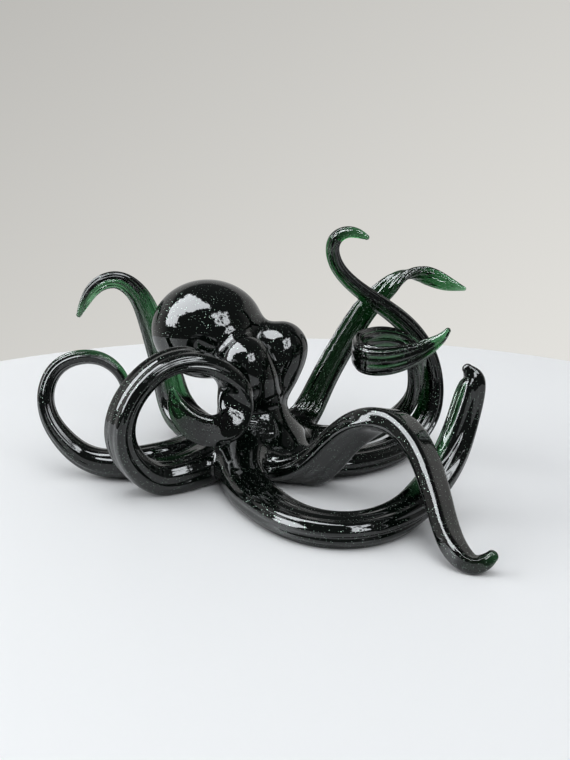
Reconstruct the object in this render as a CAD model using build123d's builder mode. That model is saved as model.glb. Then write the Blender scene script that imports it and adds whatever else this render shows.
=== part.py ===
from build123d import *
import math
import os

os.makedirs("parts", exist_ok=True)

# A lampworked glass octopus standing on a table: a round mantle behind two pear-shaped eyes, a
# crown that spreads into eight fluted arms, and arms that curl, coil and sweep round it.
# Millimetres, +Z up, +Y away from the viewer, origin on the table under the middle of the crown.
# Each piece is its own gather of hot glass, fused face to face to the pieces it grew from.

# Mantle, an egg lying on its side
mantle_length = 26.0
mantle_girth = 23.4
mantle_left = 9.9
mantle_back = 7.0
mantle_height = 30.6

# Eyes, two pears standing in the neck
eye_radius = 6.1
eye_foot_height = 14.2
front_eye_foot_right = 3.3
front_eye_foot_front = 0.9
front_eye_left = 1.2
front_eye_front = 4.2
front_eye_top = 31.6
back_eye_foot_right = 4.6
back_eye_foot_back = 0.9
back_eye_right = 7.7
back_eye_back = 5.6
back_eye_top = 32.5

# Flank of a pear: how far out as a share of its radius, how far up as a share of its height
pear_shares = [(0.62, 0.00), (0.74, 0.20), (0.97, 0.46), (0.98, 0.66), (0.76, 0.87), (0.00, 1.00)]

# Crown, a flared foot drawn in to the neck, which leans to the right of the foot's middle
crown_radius = 12.6
crown_height = 17.4
neck_offset = 3.8

# Rounds of the crown from the foot up, as shares of its height, its radius and the neck's offset
crown_shares = [
    (0.00, 0.80, 0.00),
    (0.15, 1.00, 0.00),
    (0.30, 0.97, 0.05),
    (0.47, 0.80, 0.25),
    (0.64, 0.57, 0.60),
    (0.82, 0.385, 0.92),
    (1.00, 0.375, 1.00),
]

# Flutes along the arms, how deep the grooves between them are as a share of the half width, and
# the rounding of each tip: how far past the last row, and how narrow, as shares of its half width
lobe_count = 10
groove_share = 0.09
tip_round_shares = [(0.45, 0.88), (0.80, 0.58), (0.97, 0.24)]

# Outlines stand at each row and half way to the next
part_way_shares = [0, 0.5]
straight_limit = 1e-9

# Each arm: how far it reaches from the middle of the crown, how high its middle line rises, and
# the width and thickness of the glass at its root. Rows run from the root to the tip:
# right and back as shares of the reach, underside as a share of the rise, width and thickness as
# shares of those at the root, then the turn of the ribbon about its own line in degrees.

left_curl_reach = 46.5
left_curl_rise = 26.5
left_curl_width = 8.5
left_curl_thickness = 7.0
left_curl_shares = [
    (-0.085, 0.000, 0.060, 1.00, 1.00, 0),
    (-0.235, -0.020, 0.010, 1.00, 1.08, 0),
    (-0.390, -0.150, 0.000, 0.94, 1.08, 0),
    (-0.545, -0.225, 0.000, 0.87, 1.03, 0),
    (-0.685, -0.230, 0.000, 0.80, 0.94, 0),
    (-0.815, -0.210, 0.075, 0.73, 0.80, 0),
    (-0.920, -0.200, 0.260, 0.66, 0.66, 0),
    (-0.985, -0.180, 0.485, 0.60, 0.53, 0),
    (-0.990, -0.150, 0.690, 0.55, 0.49, 0),
    (-0.935, -0.120, 0.860, 0.52, 0.49, 0),
    (-0.830, -0.100, 0.940, 0.49, 0.47, 0),
    (-0.725, -0.088, 0.920, 0.42, 0.44, 0),
    (-0.648, -0.088, 0.820, 0.35, 0.39, 0),
    (-0.615, -0.098, 0.700, 0.28, 0.32, 0),
    (-0.620, -0.118, 0.605, 0.15, 0.18, 0),
]

front_loop_reach = 37.0
front_loop_rise = 30.0
front_loop_width = 9.0
front_loop_thickness = 6.6
front_loop_shares = [
    (-0.070, -0.110, 0.100, 1.00, 1.00, 0),
    (-0.225, -0.280, 0.020, 1.00, 1.12, 0),
    (-0.380, -0.450, 0.000, 1.00, 1.09, 0),
    (-0.535, -0.535, 0.000, 1.00, 1.06, 0),
    (-0.665, -0.620, 0.145, 1.00, 0.95, 0),
    (-0.730, -0.675, 0.365, 0.95, 0.79, 0),
    (-0.710, -0.690, 0.590, 0.87, 0.67, 0),
    (-0.630, -0.662, 0.768, 0.80, 0.64, 0),
    (-0.513, -0.600, 0.890, 0.78, 0.64, 0),
    (-0.370, -0.530, 0.930, 0.78, 0.66, 0),
    (-0.212, -0.475, 0.865, 0.76, 0.66, 10),
    (-0.098, -0.448, 0.725, 0.76, 0.64, 25),
    (-0.058, -0.462, 0.550, 0.76, 0.61, 45),
    (-0.098, -0.525, 0.422, 0.73, 0.55, 65),
    (-0.212, -0.590, 0.405, 0.71, 0.48, 75),
    (-0.335, -0.608, 0.482, 0.62, 0.42, 75),
    (-0.412, -0.597, 0.635, 0.40, 0.36, 70),
    (-0.438, -0.570, 0.775, 0.14, 0.18, 60),
]

back_left_reach = 44.0
back_left_rise = 40.0
back_left_width = 8.5
back_left_thickness = 6.0
back_left_shares = [
    (-0.110, 0.115, 0.070, 1.00, 1.00, 0),
    (-0.265, 0.270, 0.010, 1.04, 1.00, 20),
    (-0.385, 0.385, 0.030, 1.08, 0.92, 45),
    (-0.450, 0.455, 0.110, 1.04, 0.87, 60),
    (-0.490, 0.477, 0.285, 0.92, 0.83, 60),
    (-0.537, 0.480, 0.495, 0.80, 0.77, 60),
    (-0.587, 0.477, 0.690, 0.71, 0.70, 60),
    (-0.652, 0.455, 0.860, 0.59, 0.63, 50),
    (-0.757, 0.410, 0.955, 0.49, 0.55, 30),
    (-0.850, 0.365, 0.935, 0.42, 0.50, 20),
    (-0.915, 0.340, 0.855, 0.31, 0.38, 10),
    (-0.950, 0.318, 0.790, 0.15, 0.20, 0),
]

back_right_reach = 55.0
back_right_rise = 40.5
back_right_width = 8.0
back_right_thickness = 6.0
back_right_shares = [
    (0.045, 0.072, 0.070, 1.00, 1.00, 0),
    (0.155, 0.200, 0.025, 0.97, 1.00, -20),
    (0.240, 0.285, 0.095, 0.92, 0.84, -50),
    (0.302, 0.328, 0.245, 0.85, 0.77, -60),
    (0.364, 0.362, 0.402, 0.82, 0.73, -60),
    (0.438, 0.383, 0.575, 0.80, 0.70, -60),
    (0.516, 0.397, 0.738, 0.75, 0.63, -55),
    (0.596, 0.400, 0.865, 0.65, 0.57, -35),
    (0.678, 0.397, 0.940, 0.60, 0.53, -10),
    (0.767, 0.383, 0.962, 0.57, 0.50, 20),
    (0.855, 0.364, 0.940, 0.45, 0.40, 30),
    (0.938, 0.345, 0.918, 0.13, 0.17, 30),
]

tall_reach = 44.0
tall_rise = 54.0
tall_width = 8.5
tall_thickness = 6.0
tall_shares = [
    (0.060, -0.045, 0.025, 1.00, 1.00, 0),
    (0.205, -0.140, 0.000, 1.00, 1.00, 0),
    (0.350, -0.215, 0.000, 0.99, 1.00, 0),
    (0.495, -0.205, 0.000, 0.96, 0.97, 0),
    (0.637, -0.125, 0.000, 0.94, 0.93, 0),
    (0.770, -0.005, 0.008, 0.92, 0.90, 0),
    (0.890, 0.110, 0.053, 0.85, 0.87, 0),
    (0.965, 0.170, 0.142, 0.76, 0.83, 0),
    (0.983, 0.193, 0.255, 0.71, 0.77, 0),
    (0.948, 0.193, 0.392, 0.68, 0.70, 0),
    (0.858, 0.170, 0.514, 0.64, 0.67, 0),
    (0.733, 0.138, 0.612, 0.59, 0.63, 0),
    (0.605, 0.114, 0.692, 0.52, 0.57, 0),
    (0.495, 0.090, 0.775, 0.47, 0.50, 0),
    (0.433, 0.068, 0.863, 0.42, 0.45, 0),
    (0.438, 0.045, 0.948, 0.38, 0.40, 0),
    (0.500, 0.023, 0.984, 0.31, 0.35, 0),
    (0.562, 0.010, 0.981, 0.24, 0.28, 0),
    (0.597, 0.000, 0.974, 0.14, 0.19, 0),
]

coiled_reach = 45.0
coiled_rise = 35.0
coiled_width = 8.0
coiled_thickness = 5.5
coiled_shares = [
    (0.055, 0.045, 0.063, 1.00, 1.00, 0),
    (0.200, 0.130, 0.023, 1.00, 1.02, 0),
    (0.353, 0.165, 0.014, 0.97, 0.98, 0),
    (0.505, 0.185, 0.026, 0.90, 0.91, 0),
    (0.640, 0.190, 0.079, 0.82, 0.84, 0),
    (0.743, 0.178, 0.177, 0.78, 0.76, 0),
    (0.813, 0.151, 0.291, 0.75, 0.73, 0),
    (0.849, 0.120, 0.415, 0.75, 0.65, 5),
    (0.861, 0.090, 0.546, 0.75, 0.62, 15),
    (0.846, 0.068, 0.650, 0.75, 0.58, 40),
    (0.786, 0.060, 0.706, 0.75, 0.55, 70),
    (0.696, 0.035, 0.740, 0.78, 0.55, 90),
    (0.606, -0.045, 0.754, 0.80, 0.55, 95),
    (0.547, -0.162, 0.745, 0.82, 0.55, 95),
    (0.558, -0.275, 0.720, 0.85, 0.55, 95),
    (0.626, -0.335, 0.720, 0.82, 0.51, 95),
    (0.716, -0.346, 0.745, 0.75, 0.47, 95),
    (0.802, -0.340, 0.796, 0.60, 0.42, 95),
    (0.880, -0.334, 0.868, 0.42, 0.36, 95),
    (0.940, -0.333, 0.950, 0.23, 0.29, 95),
    (0.958, -0.333, 0.992, 0.15, 0.21, 95),
]

arched_reach = 76.0
arched_rise = 20.0
arched_width = 9.0
arched_thickness = 6.0
arched_shares = [
    (0.022, -0.079, 0.090, 1.00, 1.00, 0),
    (0.072, -0.145, 0.000, 1.07, 1.00, 10),
    (0.130, -0.204, 0.000, 1.13, 0.93, 30),
    (0.190, -0.250, 0.085, 1.16, 0.87, 45),
    (0.246, -0.289, 0.357, 1.09, 0.83, 48),
    (0.305, -0.331, 0.662, 0.95, 0.80, 38),
    (0.369, -0.384, 0.858, 0.82, 0.80, 20),
    (0.423, -0.447, 0.840, 0.76, 0.80, 10),
    (0.462, -0.513, 0.681, 0.71, 0.80, 10),
    (0.485, -0.579, 0.478, 0.67, 0.80, 10),
    (0.499, -0.645, 0.290, 0.62, 0.77, 10),
    (0.512, -0.710, 0.137, 0.58, 0.70, 10),
    (0.532, -0.768, 0.042, 0.49, 0.63, 10),
    (0.565, -0.797, 0.002, 0.40, 0.53, 10),
    (0.594, -0.801, 0.052, 0.33, 0.45, 10),
    (0.609, -0.799, 0.115, 0.24, 0.36, 10),
]

sweeping_reach = 54.0
sweeping_rise = 30.0
sweeping_width = 9.5
sweeping_thickness = 7.0
sweeping_shares = [
    (-0.025, -0.110, 0.085, 1.00, 1.00, 0),
    (-0.040, -0.250, 0.075, 1.03, 1.00, 0),
    (-0.015, -0.430, 0.018, 1.01, 0.91, 0),
    (0.065, -0.625, 0.000, 0.95, 0.89, 0),
    (0.160, -0.778, 0.000, 0.88, 0.86, 0),
    (0.268, -0.865, 0.000, 0.84, 0.86, 0),
    (0.385, -0.885, 0.000, 0.82, 0.86, 0),
    (0.497, -0.838, 0.000, 0.80, 0.86, 0),
    (0.603, -0.745, 0.030, 0.78, 0.83, 0),
    (0.695, -0.650, 0.120, 0.78, 0.80, 0),
    (0.766, -0.583, 0.262, 0.78, 0.77, 0),
    (0.813, -0.537, 0.422, 0.78, 0.74, 0),
    (0.844, -0.509, 0.597, 0.76, 0.69, 0),
    (0.864, -0.500, 0.752, 0.67, 0.63, 0),
    (0.868, -0.500, 0.875, 0.46, 0.49, 0),
    (0.846, -0.500, 0.968, 0.23, 0.27, 0),
]


def half_height(width, thickness, turn):
    """How far a level ribbon reaches below its middle line when it is turned about that line."""
    lean = math.radians(turn)
    return math.hypot(width / 2 * math.sin(lean), thickness / 2 * math.cos(lean))


def carry_side(side, place, heading, next_place, next_heading):
    """Carry the sideways direction from one row to the next without spinning it about the arm."""
    step = next_place - place
    side_half = side - step * (2 * step.dot(side) / step.dot(step))
    heading_half = heading - step * (2 * step.dot(heading) / step.dot(step))
    turn = next_heading - heading_half
    if turn.length < straight_limit:
        return side_half.normalized()
    return (side_half - turn * (2 * turn.dot(side_half) / turn.dot(turn))).normalized()


def section_outline(width, thickness):
    """One closed outline of a fluted ribbon, its lobes reaching the full width and thickness."""
    half_lobe = math.pi / lobe_count
    groove = 1 - groove_share
    crest = 2 - groove * math.cos(half_lobe)
    with BuildLine() as outline:
        for lobe in range(lobe_count):
            points = []
            for corner, factor in ((0, groove), (1, crest), (2, groove)):
                angle = (2 * lobe + corner) * half_lobe
                across = width / 2 * factor * math.cos(angle)
                through = thickness / 2 * factor * math.sin(angle)
                points.append((across, through))
            Bezier(*points)
    return outline


def arm_blank(reach, rise, root_width, root_thickness, row_shares):
    """An arm drawn through every row of its table, before it is shaped to its neighbours."""
    rows, sizes = [], []
    for right, back, lift, wide, thick, turn in row_shares:
        width = root_width * wide
        thickness = root_thickness * thick
        height = half_height(width, thickness, turn) + rise * lift
        rows.append(Vector(reach * right, reach * back, height))
        sizes.append((width, thickness, turn))
    middle = Spline(*rows)
    marks = [middle.param_at_point(row) for row in rows]
    stations = []
    for row in range(len(rows) - 1):
        for part_way in part_way_shares:
            mark = marks[row] + (marks[row + 1] - marks[row]) * part_way
            size = [a + (b - a) * part_way for a, b in zip(sizes[row], sizes[row + 1])]
            stations.append((middle.position_at(mark), middle.tangent_at(mark), size))
    tip, heading = rows[-1], middle % 1
    width, thickness, turn = sizes[-1]
    stations.append((tip, heading, sizes[-1]))
    for share, narrowing in tip_round_shares:
        place = tip + heading * (share * (width + thickness) / 4)
        stations.append((place, heading, (width * narrowing, thickness * narrowing, turn)))
    side = stations[0][1].cross(Vector(0, 0, 1)).normalized()
    with BuildPart() as blank:
        for index, (place, heading, size) in enumerate(stations):
            if index > 0:
                side = carry_side(side, stations[index - 1][0], stations[index - 1][1], place, heading)
            width, thickness, turn = size
            lean = math.radians(turn)
            wide = side * math.cos(lean) + side.cross(heading) * math.sin(lean)
            with BuildSketch(Plane(place, wide, heading)):
                add(section_outline(width, thickness))
                make_face()
        loft()
    return blank.part


def largest(shape):
    """The one solid left when glass shaped to its neighbours sheds chips."""
    return Part() + max(shape.solids(), key=lambda solid: solid.volume)


def pear(foot, top):
    """A pear of glass standing on its foot in the neck."""
    axis = top - foot
    along = axis.normalized()
    side = along.cross(Vector(0, 1, 0)).normalized()
    height = axis.length
    with BuildPart() as body:
        with BuildSketch(Plane(foot, side, side.cross(along))):
            with BuildLine():
                flank = Spline(
                    *[(eye_radius * out, height * up) for out, up in pear_shares],
                    tangents=[(0.1, 1), (-1, 0)],
                )
                Line((0, 0), flank @ 0)
                Line((0, 0), (0, height))
            make_face()
        revolve(axis=Axis(foot, axis))
    return body.part


# Mantle
mantle_middle = Vector(-mantle_left, mantle_back, mantle_height)
with BuildPart() as mantle:
    with BuildSketch(Plane(mantle_middle, (1, 0, 0), (0, -1, 0))):
        with BuildLine():
            dome = EllipticalCenterArc((0, 0), mantle_length / 2, mantle_girth / 2, arc_size=180)
            Line(dome @ 1, dome @ 0)
        make_face()
    revolve(axis=Axis(mantle_middle, (1, 0, 0)))
mantle.part.label = "mantle"

# Eyes, each shaped to the mantle behind and the back one to the front one
with BuildPart() as front_eye:
    add(pear(
        Vector(front_eye_foot_right, -front_eye_foot_front, eye_foot_height),
        Vector(-front_eye_left, -front_eye_front, front_eye_top),
    ))
    add(mantle.part, mode=Mode.SUBTRACT)
front_eye.part.label = "front_eye"

with BuildPart() as back_eye:
    add(pear(
        Vector(back_eye_foot_right, back_eye_foot_back, eye_foot_height),
        Vector(back_eye_right, back_eye_back, back_eye_top),
    ))
    add(mantle.part, mode=Mode.SUBTRACT)
    add(front_eye.part, mode=Mode.SUBTRACT)
back_eye.part.label = "back_eye"

# Crown, from its flat foot up to the neck that holds the eyes
with BuildPart() as crown:
    for height_share, radius_share, offset_share in crown_shares:
        with BuildSketch(Plane.XY.offset(crown_height * height_share)):
            with Locations((neck_offset * offset_share, 0)):
                Circle(crown_radius * radius_share)
    loft()
    split(bisect_by=Plane.XY, keep=Keep.TOP)
    for piece in (mantle, front_eye, back_eye):
        add(piece.part, mode=Mode.SUBTRACT)
crown.part.label = "crown"

# Arms in the order they were put on. Each is set down flat, then shaped to the crown and to the
# arm beside it that was on already.
arm_sizes = {
    "front_loop_arm": (
        front_loop_reach, front_loop_rise, front_loop_width, front_loop_thickness, front_loop_shares,
    ),
    "sweeping_arm": (
        sweeping_reach, sweeping_rise, sweeping_width, sweeping_thickness, sweeping_shares,
    ),
    "arched_arm": (
        arched_reach, arched_rise, arched_width, arched_thickness, arched_shares,
    ),
    "tall_arm": (
        tall_reach, tall_rise, tall_width, tall_thickness, tall_shares,
    ),
    "left_curl_arm": (
        left_curl_reach, left_curl_rise, left_curl_width, left_curl_thickness, left_curl_shares,
    ),
    "coiled_arm": (
        coiled_reach, coiled_rise, coiled_width, coiled_thickness, coiled_shares,
    ),
    "back_left_arm": (
        back_left_reach, back_left_rise, back_left_width, back_left_thickness, back_left_shares,
    ),
    "back_right_arm": (
        back_right_reach, back_right_rise, back_right_width, back_right_thickness, back_right_shares,
    ),
}
arm_beside = {
    "sweeping_arm": "front_loop_arm",
    "arched_arm": "sweeping_arm",
    "tall_arm": "arched_arm",
    "left_curl_arm": "front_loop_arm",
    "coiled_arm": "tall_arm",
    "back_left_arm": "left_curl_arm",
    "back_right_arm": "coiled_arm",
}

arms = {}
for label, sizes in arm_sizes.items():
    with BuildPart() as arm:
        add(arm_blank(*sizes))
        split(bisect_by=Plane.XY, keep=Keep.TOP)
        add(crown.part, mode=Mode.SUBTRACT)
        if label in arm_beside:
            add(arms[arm_beside[label]], mode=Mode.SUBTRACT)
    arms[label] = largest(arm.part)
    arms[label].label = label

for piece in (mantle.part, front_eye.part, back_eye.part, crown.part, *arms.values()):
    export_step(piece, f"parts/{piece.label}.step")
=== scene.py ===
"""Visual model of a lampworked octopus figurine in dark green glass.

Every piece of glass is a closed mesh of its own and stands for the CAD piece of the same name. The arms
are fluted ribbons drawn through the rows of their tables, and the mantle, the eyes and the crown are
turned forms. Where the hot glass was fused, the skins of the pieces are drawn onto one flowing surface.
"""

import logging
import math
from dataclasses import dataclass, field
from enum import Enum
from typing import Sequence

import bpy
import numpy as np
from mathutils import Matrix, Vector


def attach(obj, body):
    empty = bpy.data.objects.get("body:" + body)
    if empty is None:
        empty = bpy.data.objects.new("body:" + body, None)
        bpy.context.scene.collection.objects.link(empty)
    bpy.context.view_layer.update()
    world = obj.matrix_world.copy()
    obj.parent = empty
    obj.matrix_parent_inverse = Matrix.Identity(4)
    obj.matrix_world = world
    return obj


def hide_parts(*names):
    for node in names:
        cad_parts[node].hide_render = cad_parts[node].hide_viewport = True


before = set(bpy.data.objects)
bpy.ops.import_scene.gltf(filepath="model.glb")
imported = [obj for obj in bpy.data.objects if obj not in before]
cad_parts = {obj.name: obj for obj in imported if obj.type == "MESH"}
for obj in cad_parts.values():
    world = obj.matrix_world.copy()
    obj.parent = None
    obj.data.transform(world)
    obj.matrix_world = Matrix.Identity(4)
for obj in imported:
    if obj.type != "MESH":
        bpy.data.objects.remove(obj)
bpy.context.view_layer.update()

log = logging.getLogger("glass_octopus")

MILLIMETRE = 0.001
BODY = "root"
# The least length and the least steepness that anything is divided by.
NEVER_ZERO = 1e-12
SHALLOWEST = 1e-6
# How fast the glass absorbs light where nothing else is said, per metre.
BLACK_GLASS = 1300.0

Array = np.ndarray
Colour = tuple[float, float, float, float]


class Slot(Enum):
    """The material slots of the record."""

    BODY_GLASS = "dark_green_glass"
    ARM_GLASS = "green_arm_glass"


class Clearness(Enum):
    """How thin an arm has to be for light: the half thickness in mm that is still black, then clear."""

    DENSE = (2.0, 0.9)
    HALF_CLEAR = (2.9, 1.2)
    CLEAR = (3.7, 1.5)
    CLEAREST = (4.4, 1.7)


def smooth_step(value: Array, low: float, high: float) -> Array:
    """Rise smoothly from 0 at low to 1 at high, or fall if low is the larger.

    Args:
        value: The numbers to map.
        low: Where the result is 0.
        high: Where the result is 1.

    Returns:
        The mapped numbers.
    """
    share = np.clip((value - low) / (high - low), 0.0, 1.0)
    return share * share * (3.0 - 2.0 * share)


def unit(vectors: Array) -> Array:
    """Scale each row of vectors to length 1."""
    return vectors / np.maximum(np.linalg.norm(vectors, axis=-1, keepdims=True), NEVER_ZERO)


def lengths_along(points: Array) -> Array:
    """How far each point lies along the line through them all, from 0 at the first."""
    return np.concatenate(([0.0], np.cumsum(np.linalg.norm(np.diff(points, axis=0), axis=1))))


def angles_round(count: int) -> Array:
    """Even angles once round a circle, in radians."""
    return np.linspace(0, 2 * math.pi, count, endpoint=False)


def natural_spline(knots: Array, values: Array, at: Array) -> Array:
    """Read a natural cubic spline.

    Args:
        knots: Rising parameters of the rows.
        values: One row of numbers for each knot.
        at: The parameters to read.

    Returns:
        One row of numbers for each parameter.
    """
    count = len(knots)
    gap = np.diff(knots)
    slope = np.diff(values, axis=0) / gap[:, None]
    system = np.eye(count)
    right_side = np.zeros_like(values)
    for row in range(1, count - 1):
        system[row, row - 1: row + 2] = gap[row - 1], 2 * (gap[row - 1] + gap[row]), gap[row]
        right_side[row] = 6 * (slope[row] - slope[row - 1])
    bend = np.linalg.solve(system, right_side)
    span = np.clip(np.searchsorted(knots, at, side="right") - 1, 0, count - 2)
    width = gap[span][:, None]
    after = (at - knots[span])[:, None]
    before = width - after
    return (
        (bend[span] * before ** 3 + bend[span + 1] * after ** 3) / (6 * width)
        + (values[span] / width - bend[span] * width / 6) * before
        + (values[span + 1] / width - bend[span + 1] * width / 6) * after
    )


def smooth_mesh(name: str, points: Array, faces: list[tuple[int, ...]]) -> bpy.types.Mesh:
    """Make a smooth shaded mesh.

    Args:
        name: The mesh's name.
        points: Its points in metres.
        faces: The numbers of the points round each face.

    Returns:
        The mesh.
    """
    mesh = bpy.data.meshes.new(name)
    mesh.from_pydata(points.tolist(), [], faces)
    mesh.polygons.foreach_set("use_smooth", np.ones(len(mesh.polygons), bool))
    mesh.update()
    return mesh


def place_object(name: str, data: bpy.types.ID) -> bpy.types.Object:
    """Make an object and put it in the scene.

    Args:
        name: The object's name.
        data: Its mesh, light or camera.

    Returns:
        The object.
    """
    thing = bpy.data.objects.new(name, data)
    bpy.context.scene.collection.objects.link(thing)
    return thing


@dataclass(frozen=True)
class Skin:
    """Rings of points from one end of a piece to the other, each end closed by one more point.

    The glass is in mm until it is turned into a mesh, and the table in m.

    Attributes:
        rings: Points, as rings by points round by three.
        ends: The two closing points.
        clear: How clear the glass is at each point of the rings, from 0 to 1, with the arms' painted shade in
            it.
        along: How far along the piece each ring lies.
    """

    rings: Array
    ends: Array
    clear: Array
    along: Array

    def points(self) -> Array:
        """All points, ring after ring, then the two ends."""
        return np.vstack((self.rings.reshape(-1, 3), self.ends))

    def faces(self) -> list[tuple[int, ...]]:
        """Quads between the rings, and a fan of triangles at each end, all facing out.

        Returns:
            The numbers of the points round each face.
        """
        count, around = self.rings.shape[:2]
        first, last = count * around, count * around + 1
        here = np.arange(around)
        there = np.roll(here, -1)
        faces = []
        for ring in range(count - 1):
            low, high = ring * around, (ring + 1) * around
            faces += list(zip(low + here, low + there, high + there, high + here))
        top = (count - 1) * around
        faces += [(first, b, a) for a, b in zip(here, there)]
        faces += [(last, top + a, top + b) for a, b in zip(here, there)]
        return [tuple(int(corner) for corner in face) for face in faces]

    def clearness(self) -> Array:
        """How clear the glass is at every point, the two ends included."""
        ends = self.clear[[0, -1]].mean(axis=1)
        return np.concatenate((self.clear.ravel(), ends))

    def spread(self, ring_values: Array) -> Array:
        """Give each point the value of its ring.

        Args:
            ring_values: One value a ring.

        Returns:
            One value a point, the two ends included.
        """
        each = np.repeat(ring_values, self.rings.shape[1])
        return np.concatenate((each, ring_values[:1], ring_values[-1:]))


class GlassForm:
    """A piece of glass with a skin and with a distance from any point to its surface.

    Attributes:
        name: The CAD piece that it stands for.
        slot: The material slot of that piece.
        absorption: How fast the glass absorbs light, per metre.
    """

    name: str
    slot: Slot = Slot.BODY_GLASS
    absorption: float = BLACK_GLASS

    def skin(self) -> Skin:
        """The piece's own surface before it is fused to its neighbours."""
        raise NotImplementedError

    def foothold(self, points: Array) -> Array:
        """Which part of the form each point is nearest to, for distance()."""
        raise NotImplementedError

    def distance(self, points: Array, foothold: Array) -> Array:
        """Signed distance of each point from the surface in mm, negative inside."""
        raise NotImplementedError

    def may_fuse(self, skin: Skin) -> Array:
        """How far each point of the skin may take part in a fused joint, from 0 to 1."""
        return np.ones(len(skin.points()))


@dataclass
class Flutes:
    """The ribs that run along an arm, left by the mould that its cane was drawn from.

    Attributes:
        depth_share: Depth of the grooves as a share of the section.
        squareness: How square the section is, where 2 is an oval.
        seed: Makes the grooves of each arm vary in their own way.
        lobes: How many ribs there are.
        sharpness: How narrow the grooves are.
        unevenness: How much the grooves vary in depth, as a share of it.
        phase_step: How far the variation moves on from one groove to the next, in radians.
        wave: Length over which a groove varies, in mm for each radian.
        wave_spread: How much that length differs between the grooves.
    """

    depth_share: float
    squareness: float
    seed: int
    lobes: int = 10
    sharpness: float = 1.3
    unevenness: float = 0.45
    phase_step: float = 2.4
    wave: float = 7.0
    wave_spread: float = 3.0

    def factor(self, angle: Array, along: Array, depth: Array) -> Array:
        """How far out the outline stands at an angle, as a share of the plain oval.

        Args:
            angle: Angle round the section in radians, with grooves at whole lobes.
            along: Place along the arm in mm.
            depth: How much of the full depth the grooves have there.

        Returns:
            The share, which is 1 on the crests of an oval section.
        """
        cosine, sine = np.abs(np.cos(angle)), np.abs(np.sin(angle))
        square = (cosine ** self.squareness + sine ** self.squareness) ** (-1 / self.squareness)
        groove = np.cos(self.lobes * angle / 2) ** 2
        which = np.round(self.lobes * angle / (2 * math.pi))
        phase = self.seed + self.phase_step * np.mod(which, self.lobes)
        wave = self.wave + self.wave_spread * np.sin(phase)
        uneven = 1 + self.unevenness * np.sin(phase + along / wave)
        return square * (1 - self.depth_share * depth * uneven * groove ** self.sharpness)


@dataclass(frozen=True)
class Sections:
    """Cross-sections along an arm from root to tip, one row each, in mm.

    Attributes:
        centre: Their middles.
        heading: The direction in which the arm runs.
        wide: The direction of their width.
        thin: The direction of their thickness.
        half_width: Half of the width.
        half_thickness: Half of the thickness.
        along: Place along the arm.
        depth: How much of their full depth the grooves have.
    """

    centre: Array
    heading: Array
    wide: Array
    thin: Array
    half_width: Array
    half_thickness: Array
    along: Array
    depth: Array


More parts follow.
